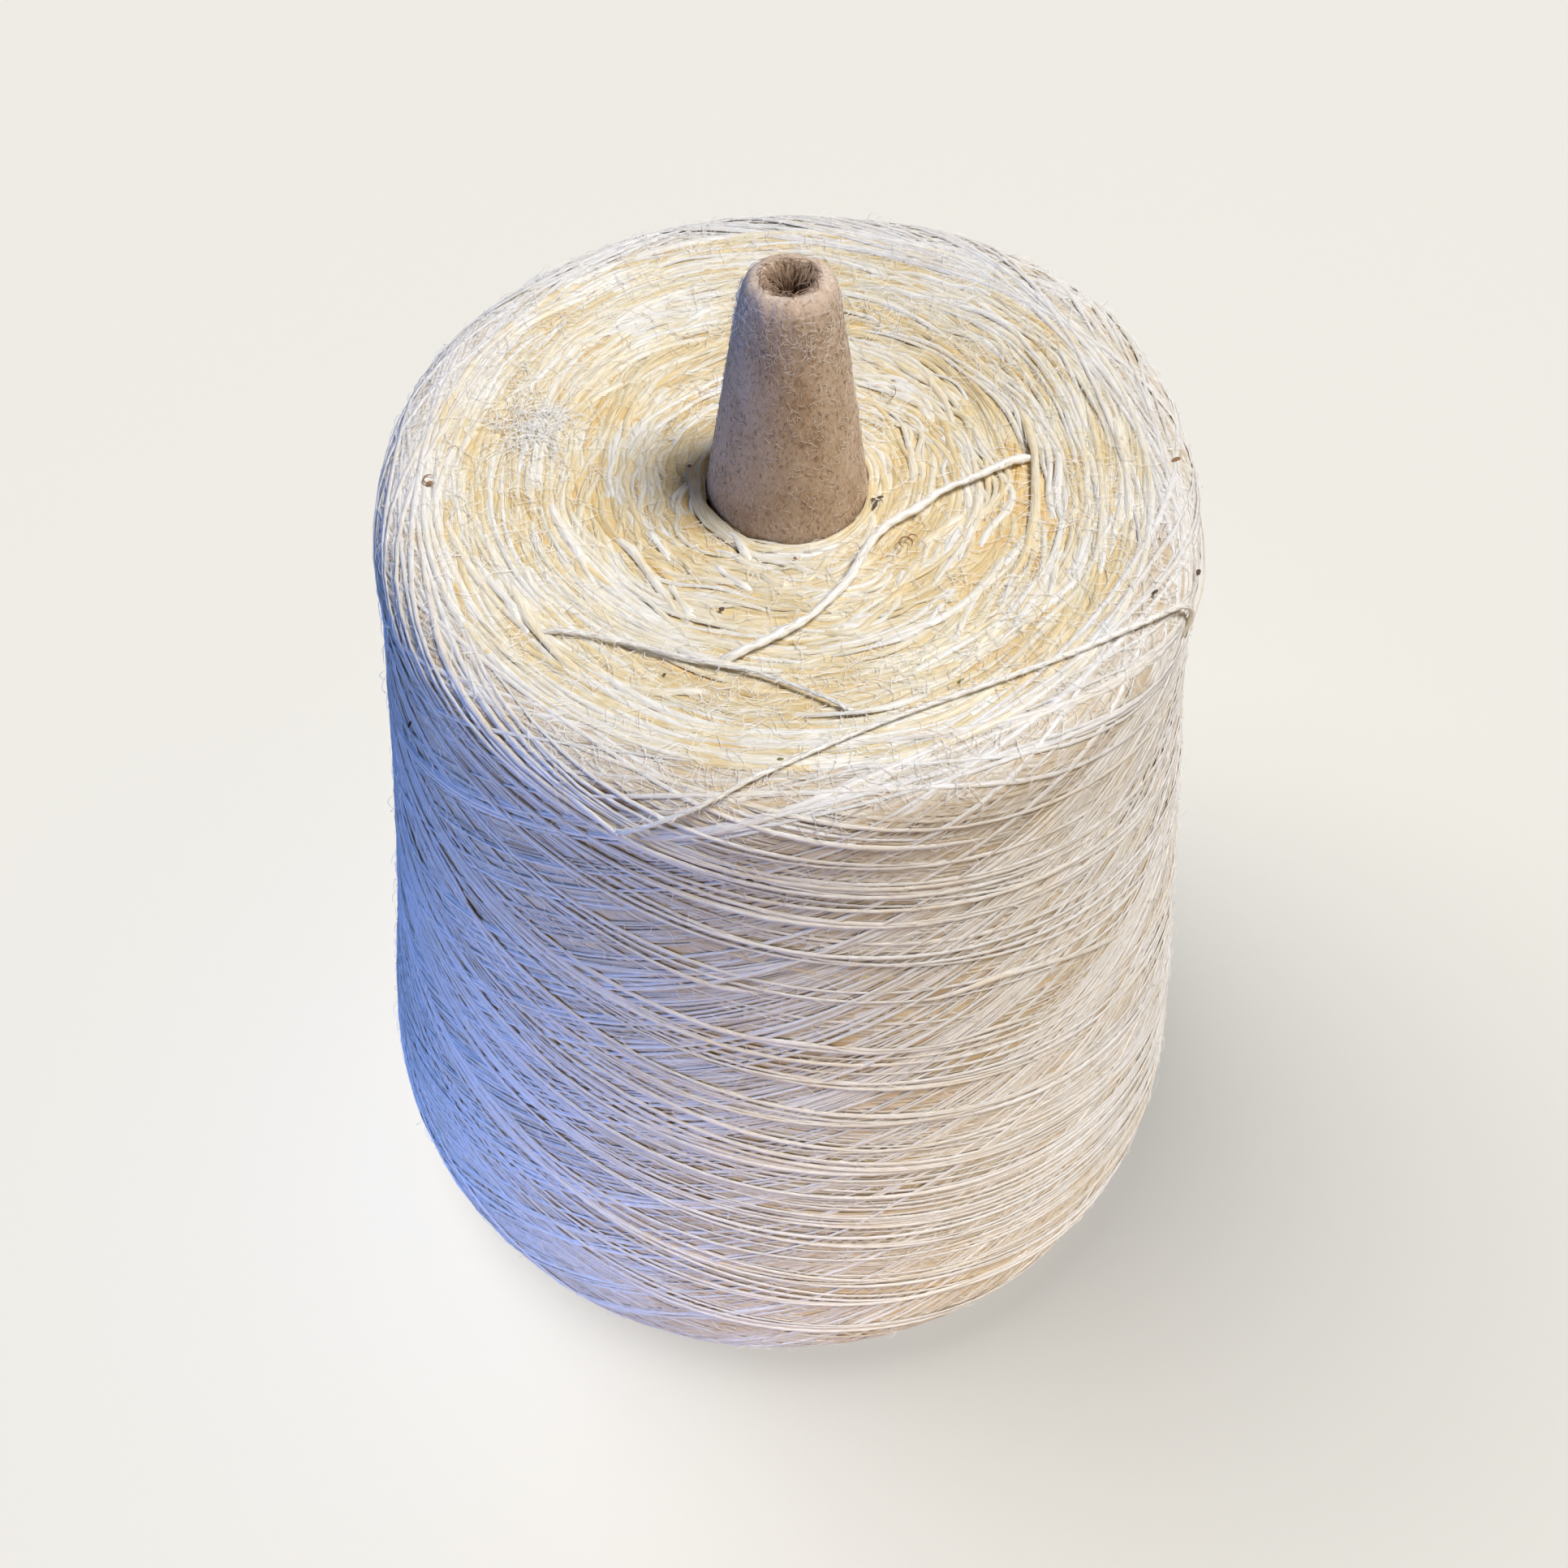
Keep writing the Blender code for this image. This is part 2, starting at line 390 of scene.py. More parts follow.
def arcs_on_face(strands, radius_low, radius_high, lift_low, lift_high, rng, on_top=True):
    """Turns of yarn on a face of the package: each comes up out of it, runs round, and dives again."""
    count = 26
    bunch = 2.5
    end_dive = 0.9 * MM

    def draw():
        share = rng.uniform(0.0, 1.0)
        radius = math.sqrt(radius_low**2 + (radius_high**2 - radius_low**2) * share)
        reach = 0.7 + 1.5 * (radius / radius_high) ** 2
        sheet = (
            radius,
            rng.uniform(0.0, TAU),
            rng.uniform(8.0, 22.0) * MM * reach,
            rng.uniform(lift_low, lift_high) * MM,
            rng.normal(0.0, 0.085),
            rng.uniform(),
        )
        return sheet, 1 + rng.poisson(bunch)

    radius, phase, half, lift, lean, _, member, group = in_sheets(strands, draw)
    radius = radius + member * rng.uniform(0.85, 1.25, strands) * FACE_TURN_WIDTH
    phase = phase + rng.normal(0.0, 0.06, strands)
    half = half * rng.uniform(0.8, 1.2, strands)
    lift = lift + rng.normal(0.0, 0.04 * MM, strands)
    lean = lean + rng.normal(0.0, 0.012, strands)
    t = np.linspace(-1.0, 1.0, count)[None, :]
    shared = smooth_noise(rng, strands, count, 5)[np.unique(group, return_inverse=True)[1]]
    own = smooth_noise(rng, strands, count, 6)
    looseness = np.interp(radius, [0.012, 0.030, 0.058], [1.15, 0.75, 0.22])[:, None] * MM
    r = radius[:, None] + lean[:, None] * half[:, None] * t + looseness * (0.9 * shared + 0.25 * own)
    r = np.clip(r, radius_low, radius_high)
    angle = phase[:, None] + half[:, None] * t / radius[:, None]
    height = lift[:, None] - end_dive * np.abs(t) ** 4.0 + 0.075 * MM * smooth_noise(rng, strands, count, 9)
    to_along = SURFACE.along_at_radius_on_top if on_top else SURFACE.along_at_radius_underneath
    return SURFACE.at(to_along(r), angle, height)


def hairs_on_surface(along, angle, lengths, rises, rng, count=5):
    """Stray fibres that start at these places, run off in any direction, curl, and stand a little proud."""
    t = np.linspace(0.0, 1.0, count)[None, :]
    heading = rng.uniform(0.0, TAU, len(along))[:, None] + rng.normal(0.0, 1.3, len(along))[:, None] * t
    step = lengths[:, None] / (count - 1)
    rows_along = along[:, None] + np.cumsum(np.sin(heading) * step, axis=1)
    rows_along = np.clip(rows_along, 0.0, SURFACE.length)
    rows_angle = angle[:, None] + np.cumsum(np.cos(heading) * step, axis=1) / SURFACE.radius_at(rows_along)
    crest = rng.uniform(0.55, 1.05, len(along))[:, None]
    rows_lift = rises[:, None] * np.sin(math.pi * np.minimum(1.0, t * crest))
    return SURFACE.at(rows_along, rows_angle, rows_lift + 0.05 * MM)


# ---- materials

def new_material(name):
    mat = bpy.data.materials.new(name)
    mat.use_nodes = True
    tree = mat.node_tree
    return mat, tree, tree.nodes["Principled BSDF"]


def set_inputs(node, **inputs):
    for name, value in inputs.items():
        node.inputs[name.replace("_", " ")].default_value = value


def add(tree, kind, **inputs):
    node = tree.nodes.new(kind)
    set_inputs(node, **inputs)
    return node


def attribute(tree, name):
    node = tree.nodes.new("ShaderNodeAttribute")
    node.attribute_name = name
    return node.outputs["Fac"]


def strand_uv(tree):
    node = tree.nodes.new("ShaderNodeUVMap")
    node.uv_map = "strand"
    return node.outputs["UV"]


def ramp(tree, source, stops):
    node = tree.nodes.new("ShaderNodeValToRGB")
    while len(node.color_ramp.elements) < len(stops):
        node.color_ramp.elements.new(0.5)
    for element, (place, colour) in zip(node.color_ramp.elements, stops):
        element.position = place
        element.color = (*colour, 1.0)
    tree.links.new(source, node.inputs["Fac"])
    return node.outputs["Color"]


def mapped_noise(tree, vector, scale, rotation=(0.0, 0.0, 0.0), **inputs):
    """Noise read through its own stretch and turn."""
    stretch = add(tree, "ShaderNodeMapping", Scale=scale, Rotation=rotation)
    tree.links.new(vector, stretch.inputs["Vector"])
    noise = add(tree, "ShaderNodeTexNoise", **inputs)
    tree.links.new(stretch.outputs["Vector"], noise.inputs["Vector"])
    return noise.outputs["Fac"]


def math_node(tree, operation, a, b):
    node = tree.nodes.new("ShaderNodeMath")
    node.operation = operation
    for socket, value in zip(node.inputs, (a, b)):
        if isinstance(value, float):
            socket.default_value = value
        else:
            tree.links.new(value, socket)
    return node.outputs["Value"]


def multiply_colour(tree, a, b, factor):
    mix = tree.nodes.new("ShaderNodeMix")
    mix.data_type = "RGBA"
    mix.blend_type = "MULTIPLY"
    mix.inputs["Factor"].default_value = factor
    tree.links.new(a, mix.inputs["A"])
    tree.links.new(b, mix.inputs["B"])
    return mix.outputs["Result"]


def colour_and_bump(tree, shader, colour, height, strength, depth):
    bump = add(tree, "ShaderNodeBump", Strength=strength, Distance=depth)
    tree.links.new(colour, shader.inputs["Base Color"])
    tree.links.new(height, bump.inputs["Height"])
    tree.links.new(bump.outputs["Normal"], shader.inputs["Normal"])


def make_yarn_pattern():
    """Shared by every yarn: fine fibres along the strand, warm and pale patches, and brighter runs along
    the strand that are painted highlight.
    """
    group = bpy.data.node_groups.new("yarn_pattern", "ShaderNodeTree")
    uv = strand_uv(group)
    coords = group.nodes.new("ShaderNodeTexCoord")
    fibres = mapped_noise(group, uv, (1.6, 9.0, 1.0), (0.0, 0.0, 0.25), Scale=3.0, Detail=3.0)
    patches = mapped_noise(group, coords.outputs["Object"], (1.0, 1.0, 1.0), Scale=120.0, Detail=3.0)
    painted_highlight_noise = mapped_noise(group, uv, (1.0, 0.0, 1.0), Scale=2.2, Detail=2.0)
    out = group.nodes.new("NodeGroupOutput")
    for name, value in (("Fibres", fibres), ("Patches", patches), ("Painted highlight", painted_highlight_noise)):
        group.interface.new_socket(name, in_out="OUTPUT", socket_type="NodeSocketFloat")
        group.links.new(value, out.inputs[name])
    return group


YARN_PATTERN = make_yarn_pattern()


def yarn_material(name, light, warm, painted_highlight_colour, roughness, specular=0.5):
    """Silky loose yarn: fibres that run along it, their grooves darkened as painted shade, brighter runs
    along it that are painted highlight, and warm patches.
    """
    mat, tree, shader = new_material(name)
    pattern = tree.nodes.new("ShaderNodeGroup")
    pattern.node_tree = YARN_PATTERN
    fibres = pattern.outputs["Fibres"]
    mixed = math_node(tree, "MULTIPLY", pattern.outputs["Patches"], 0.75)
    mixed = math_node(tree, "ADD", mixed, attribute(tree, "tint"))
    mixed = math_node(tree, "ADD", mixed, math_node(tree, "MULTIPLY", pattern.outputs["Painted highlight"], 0.6))
    # warm to pale with the random patches and tint; the palest end, reached on the brighter runs, is painted
    # highlight
    colour = ramp(tree, mixed, [(0.55, warm), (0.86, light), (1.0, painted_highlight_colour)])
    # the fibres' low grooves are darkened: painted shade
    painted_groove_shade = ramp(tree, fibres, [(0.36, (0.70, 0.62, 0.50)), (0.56, WHITE)])
    colour_and_bump(tree, shader, multiply_colour(tree, colour, painted_groove_shade, 0.7), fibres, 0.8, 0.00014)
    gloss = add(tree, "ShaderNodeMapRange", To_Min=roughness + 0.16, To_Max=roughness - 0.12)
    tree.links.new(fibres, gloss.inputs["Value"])
    tree.links.new(gloss.outputs["Result"], shader.inputs["Roughness"])
    set_inputs(shader, Specular_IOR_Level=specular, Coat_Weight=0.2, Coat_Roughness=0.25)
    set_inputs(shader, Sheen_Weight=0.2, Sheen_Roughness=0.4)
    return mat


def bed_material(name, lean_degrees, tones):
    """What shows between the turns: the same yarn a layer down, its strands just told apart; its tones are
    painted light, a warm glow of light through the yarn on the faces and painted shade on the flank.
    """
    mat, tree, shader = new_material(name)
    coords = tree.nodes.new("ShaderNodeTexCoord")
    uv = strand_uv(tree)
    lean = math.radians(lean_degrees)
    turns = [
        mapped_noise(tree, uv, (0.5, 9.0, 1.0), (0.0, 0.0, angle), Scale=1.6, Detail=3.0)
        for angle in (lean, -lean)
    ]
    turns = math_node(tree, "MAXIMUM", *turns)
    patches = mapped_noise(tree, coords.outputs["Object"], (1.0, 1.0, 1.0), Scale=140.0, Detail=4.0)
    colour = ramp(tree, patches, list(zip((0.32, 0.5, 0.68), tones)))
    # the grooves between the strands are darkened: painted shade
    painted_groove_shade = ramp(tree, turns, [(0.42, (0.84, 0.79, 0.72)), (0.66, WHITE)])
    set_inputs(shader, Roughness=0.6)
    colour_and_bump(tree, shader, multiply_colour(tree, colour, painted_groove_shade, 0.8), turns, 0.6, 0.0003)
    return mat


def paper_material():
    """Soft grey-brown winding paper: mottled, with short pale and dark fibres pressed into it; paler and
    bluer on the nose's lip as painted light, darker down the funnel as painted shade.
    """
    mat, tree, shader = new_material("winding_paper")
    coords = tree.nodes.new("ShaderNodeTexCoord").outputs["Object"]
    mottle = mapped_noise(tree, coords, (1.0, 1.0, 0.6), Scale=150.0, Detail=5.0, Roughness=0.7)
    browns = [(0.30, (0.40, 0.27, 0.17)), (0.5, (0.52, 0.38, 0.26)), (0.70, (0.61, 0.48, 0.36))]
    colour = ramp(tree, mottle, browns)
    dark_fibres = [(0.30, (0.62, 0.52, 0.45)), (0.42, WHITE)]
    both_fibres = [(0.34, (0.70, 0.62, 0.56)), (0.44, WHITE), (0.62, WHITE), (0.72, (1.3, 1.3, 1.3))]
    for turn, stops in ((0.6, dark_fibres), (-0.5, both_fibres)):
        fibres = mapped_noise(tree, coords, (1.0, 1.0, 0.5), (turn, turn, 0.0), Scale=2400.0, Detail=2.0)
        colour = multiply_colour(tree, colour, ramp(tree, fibres, stops), 0.75)
    # Paler and bluer on the nose's lip as painted light, darker down the funnel as painted shade.
    lip_light_and_funnel_shade_tones = [(0.0, (0.30, 0.22, 0.17)), (0.5, WHITE), (1.0, (1.22, 1.30, 1.45))]
    colour = multiply_colour(tree, colour, ramp(tree, attribute(tree, "painted_lip_light_and_funnel_shade"), lip_light_and_funnel_shade_tones), 1.0)
    set_inputs(shader, Roughness=0.85)
    grain = (1.0, 1.0, 0.5)
    fine = mapped_noise(tree, coords, grain, (0.5, 0.3, 0.0), Scale=1300.0, Detail=4.0, Roughness=0.7)
    colour_and_bump(tree, shader, colour, fine, 0.8, 0.00025)
    return mat


def plain_material(name, colour, roughness):
    mat, _, shader = new_material(name)
    set_inputs(shader, Base_Color=(*colour, 1.0), Roughness=roughness)
    return mat


def finish_piece(piece, mat, body="yarn_package", slot="yarn"):
    piece.data.materials.append(mat)
    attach(piece, body)


def lay_hairs(name, places, outs, width, mat, *body_and_slot):
    """Fine fibres, all of one width, that taper to both ends."""
    strands, count, _ = places.shape
    widths = np.full((strands, count), width) * taper_ends(count, 0.3)
    piece = lay_yarn(name, places, outs, widths, widths, np.zeros(strands), HAIR_SECTION)
    finish_piece(piece, mat, *body_and_slot)


# Each finish: its usual, its warmest and its palest colour, then roughness and shine.
# The six finishes are lit and shaded copies of one yarn. The deeper layers' darker, more saturated
# copies are painted shade with a painted warm glow of light through the yarn. The upper layers' paler
# copies are painted highlight. The top face's copies carry painted warm sunlight, and the flank's,
# duller and more grey, carry painted shade.
TOP_PAINTED_SHADE = yarn_material("top_yarn_painted_shade",
    (0.81, 0.65, 0.36), (0.79, 0.54, 0.21), (0.87, 0.75, 0.50), 0.46)
TOP_PAINTED_SUNLIT = yarn_material("top_yarn_painted_sunlit",
    (0.88, 0.75, 0.47), (0.86, 0.62, 0.27), (0.93, 0.86, 0.67), 0.38, 0.6)
TOP_PAINTED_HIGHLIGHT = yarn_material("top_yarn_painted_highlight",
    (0.96, 0.90, 0.74), (0.93, 0.77, 0.45), (0.98, 0.96, 0.89), 0.30, 0.8)
FLANK_PAINTED_DEEP_SHADE = yarn_material("flank_yarn_painted_deep_shade",
    (0.80, 0.70, 0.56), (0.78, 0.59, 0.33), (0.88, 0.82, 0.72), 0.40, 0.6)
FLANK_PAINTED_SHADE = yarn_material("flank_yarn_painted_shade",
    (0.84, 0.77, 0.66), (0.80, 0.62, 0.38), (0.92, 0.88, 0.81), 0.34, 0.8)
FLANK_PAINTED_HIGHLIGHT = yarn_material("flank_yarn_painted_highlight",
    (0.96, 0.93, 0.88), (0.93, 0.83, 0.66), (0.98, 0.97, 0.95), 0.30, 0.8)
STRAY_FIBRE = plain_material("stray_fibre", (0.95, 0.92, 0.85), 0.3)


# ---- the loose strands

SLACK_ROUTE = [
    (0.0352, 0.0042, 0.1617), (0.0331, 0.0033, 0.1619), (0.0298, 0.0015, 0.1618),
    (0.0268, -0.0003, 0.1617), (0.0219, -0.0029, 0.1615), (0.0183, -0.0061, 0.1613),
    (0.0147, -0.0087, 0.1612), (0.0121, -0.0117, 0.1612), (0.0102, -0.0155, 0.1613),
    (0.0086, -0.0192, 0.1614), (0.0061, -0.0228, 0.1615), (0.0030, -0.0266, 0.1617),
    (-0.0006, -0.0293, 0.1618), (-0.0038, -0.0315, 0.1619), (-0.0070, -0.0332, 0.1619),
    (-0.0088, -0.0341, 0.1617),
]
THIN_ROUTE = [
    (-0.0329, -0.0292, 0.1619), (-0.0310, -0.0294, 0.1620), (-0.0256, -0.0302, 0.1619),
    (-0.0199, -0.0316, 0.1618), (-0.0148, -0.0332, 0.1618), (-0.0098, -0.0346, 0.1617),
    (-0.0043, -0.0359, 0.1617), (0.0003, -0.0377, 0.1618), (0.0044, -0.0398, 0.1620),
    (0.0080, -0.0415, 0.1620), (0.0095, -0.0421, 0.1619),
]
EDGE_ROUTE = [
    (0.0552, -0.0236, 0.1545), (0.0553, -0.0226, 0.1566), (0.0547, -0.0222, 0.1589),
    (0.0526, -0.0235, 0.1610), (0.0484, -0.0266, 0.1622), (0.0429, -0.0298, 0.1626),
    (0.0375, -0.0326, 0.1625), (0.0309, -0.0358, 0.1624), (0.0232, -0.0392, 0.1623),
    (0.0151, -0.0429, 0.1623), (0.0087, -0.0462, 0.1624), (0.0025, -0.0496, 0.1625),
    (-0.0040, -0.0533, 0.1625), (-0.0076, -0.0554, 0.1619), (-0.0115, -0.0569, 0.1607),
    (-0.0155, -0.0574, 0.1586), (-0.0191, -0.0570, 0.1561), (-0.0222, -0.0561, 0.1532),
]

STRAND_POINTS = 320
STRAND_SIDES = 12
STRAND_TINT = 0.42
LOBE = 0.10
SINK = 0.8 * MM
SINKING_LENGTH = 4.5 * MM
FLAT_FACE_RADIUS = 0.0545
RIM_TURN = 0.003
RIM_RADIUS = 0.058
HAIR_SPACING = 0.28 * MM


def smooth_path(points, steps=24):
    """A smooth curve through points of any dimension, with this many steps from each to the next."""
    p = np.array(points, float)
    p = np.vstack([2 * p[0] - p[1], p, 2 * p[-1] - p[-2]])
    t = np.linspace(0.0, 1.0, steps, endpoint=False)[:, None]
    fine = [
        0.5 * (2 * b + (c - a) * t + (2 * a - 5 * b + 4 * c - d) * t**2 + (3 * b - a - 3 * c + d) * t**3)
        for a, b, c, d in zip(p, p[1:], p[2:], p[3:])
    ]
    return np.vstack([*fine, p[-2:-1]])


def read_between(at, knots, rows):
    return np.stack([np.interp(at, knots, column) for column in rows.T], axis=1)


def evenly(fine, count):
    """The same path as this many evenly spaced points, and its length."""
    run = run_along(fine)
    return read_between(np.linspace(0.0, run[-1], count), run, fine), run[-1]


def evenly_numbered(path, count):
    """This many rows, read in between the rows of a path."""
    return read_between(np.linspace(0.0, len(path) - 1.0, count), np.arange(len(path)), path)


def twist_plies(piece, line, pitch):
    """Gives a round tube the two lobes of two plies twisted together."""
    co = vertices_of(piece).reshape(len(line), STRAND_SIDES, 3)
    round_it = np.arange(STRAND_SIDES) / STRAND_SIDES * TAU
    lobes = 1.0 + LOBE * np.cos(2.0 * (round_it[None, :] - TAU * run_along(line)[:, None] / pitch))
    move_vertices(piece, line[:, None] + (co - line[:, None]) * lobes[..., None])


def hairs_along(name, line, strands, rng):
    """Short fibres that stand off a loose strand."""
    count = 5
    t = np.linspace(0.0, 1.0, count)[None, :, None]
    start = rng.integers(1, len(line) - 1, strands)
    forward = line[start + 1] - line[start - 1]
    forward /= np.linalg.norm(forward, axis=1)[:, None]
    side = np.stack([forward[:, 1], -forward[:, 0], np.zeros(strands)], axis=1)
    reach = rng.normal(0.0, 1.0, (strands, 3)) * np.array([1.6, 0.8, 0.45]) * MM
    reach[:, 2] = np.abs(reach[:, 2])
    path = forward[:, None] * reach[:, None, :1] * t + side[:, None] * reach[:, None, 1:2] * t**1.5
    path = line[start][:, None] + path
    path[..., 2] += reach[:, 2:] * np.sin(2.4 * t[..., 0]) + 0.1 * MM
    outs = np.tile(UP, (strands, count, 1))
    lay_hairs(name, path, outs, 0.07 * MM, STRAY_FIBRE)


def sink_ends(line, length):
    """Lets both ends of a path dive into the winding: downwards on the top face, inwards past the rim."""
    steps = np.arange(len(line))
    from_end = np.minimum(steps, steps[::-1]) / steps[-1] * length
    sunk = eased(1.0 - np.clip(from_end / SINKING_LENGTH, 0.0, 1.0))
    past_face = np.clip((np.hypot(line[:, 0], line[:, 1]) - FLAT_FACE_RADIUS) / RIM_TURN, 0.0, 1.0)
    inward = -line * past_face[:, None] / RIM_RADIUS
    inward[:, 2] = -np.sqrt(1.0 - np.clip(np.sum(inward[:, :2] ** 2, axis=1), 0.0, 1.0))
    return line + inward * (SINK * sunk)[:, None]


def loose_strand(name, node, slot, route, diameter, fullness=0.95):
    """A free stretch of the yarn: two plies, thick and thin, with hairs, its ends sunk in the winding."""
    line, length = evenly(smooth_path(route), STRAND_POINTS)
    line = sink_ends(line, length)
    rng = np.random.default_rng(len(name))
    angles = np.arange(STRAND_SIDES) / STRAND_SIDES * TAU
    section = [(-math.cos(a), math.sin(a)) for a in angles]
    thick = diameter * slubs(rng, 1, len(line), 12, 0.12) * fullness
    thick = thick * (0.5 + 0.5 * taper_ends(len(line), 0.03))
    outs = np.tile(UP, (1, len(line), 1))
    piece = lay_yarn(name, line[None], outs, thick, thick * 0.88, [STRAND_TINT], section)
    twist_plies(piece, line, 2.4 * MM + 3.0 * diameter)
    # The loose strands take the top's paler copy, painted with highlight.
    finish_piece(piece, TOP_PAINTED_HIGHLIGHT, slot=slot)
    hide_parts(node)
    hairs_along(name + "_hairs", line, round(length / HAIR_SPACING), rng)


loose_strand("slack_yarn_strand", "slack_strand", "slack_yarn", SLACK_ROUTE, 0.0012, 1.25)
loose_strand("thin_yarn_strand", "thin_strand", "thin_yarn", THIN_ROUTE, 0.0007)
loose_strand("edge_yarn_strand", "edge_strand", "edge_yarn", EDGE_ROUTE, 0.0008)


# ---- build the yarn package

def build_bed():
    """The package's body just under its outer turns."""
    segments = 192
    mean_radius_cm = 6.6
    along = SURFACE.along[::12]
    angle = np.linspace(0.0, TAU, segments, endpoint=False)
    a, b = np.meshgrid(along, angle, indexing="ij")
    places, _ = SURFACE.at(a, b, np.full_like(a, BED_LIFT))
    rings = len(along)
    i, k = np.meshgrid(np.arange(rings), np.arange(segments), indexing="ij")
    j, m = (i + 1) % rings, (k + 1) % segments
    faces = np.stack([i * segments + k, i * segments + m, j * segments + m, j * segments + k], axis=-1)
    mesh = bpy.data.meshes.new("package_bed")
    mesh.from_pydata(places.reshape(-1, 3).tolist(), [], faces.reshape(-1, 4).tolist())
    mesh.shade_smooth()
    step = along[1] * 100.0
    around = TAU * mean_radius_cm / segments
    across = np.stack([k * around, (k + 1) * around, (k + 1) * around, k * around], axis=-1)
    upward = np.stack([i * step, i * step, (i + 1) * step, (i + 1) * step], axis=-1)
    uv = mesh.uv_layers.new(name="strand")
    fill(uv.data, "uv", np.stack([across, upward], axis=-1))
    bed = new_object("package_bed", mesh)
    # The flank's tones are darker and more grey as painted shade; the faces' tones are warm as a painted glow
    # of light through the yarn.
    flank_painted_shade_tones = [(0.74, 0.58, 0.36), (0.79, 0.66, 0.47), (0.83, 0.75, 0.60)]
    face_painted_glow_tones = [(0.80, 0.56, 0.24), (0.85, 0.68, 0.37), (0.89, 0.79, 0.56)]
    finish_piece(bed, bed_material("yarn_bed_crossed_painted_shade", 19.5, flank_painted_shade_tones))
    mesh.materials.append(bed_material("yarn_bed_faces_painted_glow", 4.0, face_painted_glow_tones))
    on_flank = (along > SURFACE.belly - 12.0 * MM) & (along < SURFACE.rim - 1.0 * MM)
    fill(mesh.polygons, "material_index", np.repeat(np.where(on_flank, 0, 1), segments), np.int32)
    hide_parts("wound_yarn")


def tints_for(rng, strands):
    return rng.normal(0.22, 0.10, strands)


# Lower layers take the darker copies of the yarn, painted with shade, and the bright strands take the paler
# copies, painted with highlight; the top's layers below do the same.
FLANK_LAYERS = [
    # strands, lowest and highest lift and width in mm, members of a sheet, lift when falling,
    # flatness, finish
    (140, -0.34, -0.26, 0.62, (10, 28), 0.00, 0.40, FLANK_PAINTED_DEEP_SHADE),
    (140, -0.30, -0.20, 0.54, (10, 28), -0.03, 0.40, FLANK_PAINTED_DEEP_SHADE),
    (140, -0.26, -0.13, 0.50, (6, 20), -0.04, 0.42, FLANK_PAINTED_SHADE),
    (88, -0.10, 0.10, 0.66, (1, 3), 0.09, 0.62, FLANK_PAINTED_HIGHLIGHT),
    (60, -0.18, -0.06, 0.50, (6, 14), -0.05, 0.50, FLANK_PAINTED_HIGHLIGHT),
]
TOP_LAYERS = [
    (860, -0.36, -0.22, TOP_PAINTED_SHADE),
    (880, -0.28, -0.08, TOP_PAINTED_SUNLIT),
    (460, -0.14, 0.06, TOP_PAINTED_HIGHLIGHT),
]
BOTTOM_TURNS = 720
TOP_FLATNESS = 0.48
STANDOUT_LIFT = 0.14

# Turns that stand out on their own: radius in mm, degrees about the axis, and lift in mm where it isn't
# slight. The ones with the highest lift cross over the ends of the loose strands and hold them down.
TOP_STANDOUTS = [
    [(26.3, -156), (25.3, -147), (25.9, -136), (27.3, -127), (28.9, -120), (29.9, -113)],
    [(33.9, -174), (33.2, -166), (32.1, -154), (32.6, -146), (33.0, -138)],
    [(25.2, -129), (26.9, -122), (29.0, -114)],
    [(39.6, -156), (40.1, -147), (38.9, -141)],
    [(43.6, -155), (44.3, -146), (44.8, -141), (44.3, -138)],
    [(43.1, -120), (42.5, -114), (40.9, -109), (39.5, -103)],
    [(21.5, -153), (21.6, -146), (21.9, -135)],
    [(13.3, -112), (13.0, -97), (13.4, -80), (13.8, -67), (13.2, -42)],
    [(18.5, -123), (19.8, -113), (20.9, -102)],
    [(17.2, -104), (18.9, -95), (19.6, -88)],
    [(13.2, -132, 0.5), (13.2, -122, 0.6), (16.0, -106, 0.2)],
    [(36.5, 24, 0.1), (35.9, 15, 0.5), (35.5, 7, 0.85), (35.1, -1, 0.5), (35.2, -15, 0.15), (35.6, -29),
     (34.3, -41)],
    [(45.4, 18), (44.8, 12), (44.2, -3), (44.6, -18), (45.1, -21)],
    [(48.4, 14), (47.9, 7), (47.9, -3), (48.2, -11)],
    [(20.8, 47), (20.3, 36), (18.7, 19), (17.8, -1)],
    [(13.8, 35), (14.4, 22), (13.9, -1)],
    [(21.5, -36), (22.8, -27), (24.4, -18), (25.9, -14)],
    [(28.0, -33), (27.2, -21), (27.6, -8)],
    [(31.9, -69), (32.1, -59), (32.9, -51), (33.2, -32), (33.1, -25)],
    [(33.6, -120, 0.1), (34.9, -110, 0.5), (35.3, -104, 0.85), (35.2, -98, 0.5), (34.6, -86, 0.1)],
    [(42.0, -152, 0.1), (43.4, -143, 0.4), (44.1, -138, 0.7), (44.5, -132, 0.4), (44.8, -123, 0.1)],
    [(42.0, -91, 0.1), (42.8, -83, 0.4), (43.3, -77, 0.7), (43.2, -70, 0.4), (42.6, -61, 0.1)],
]
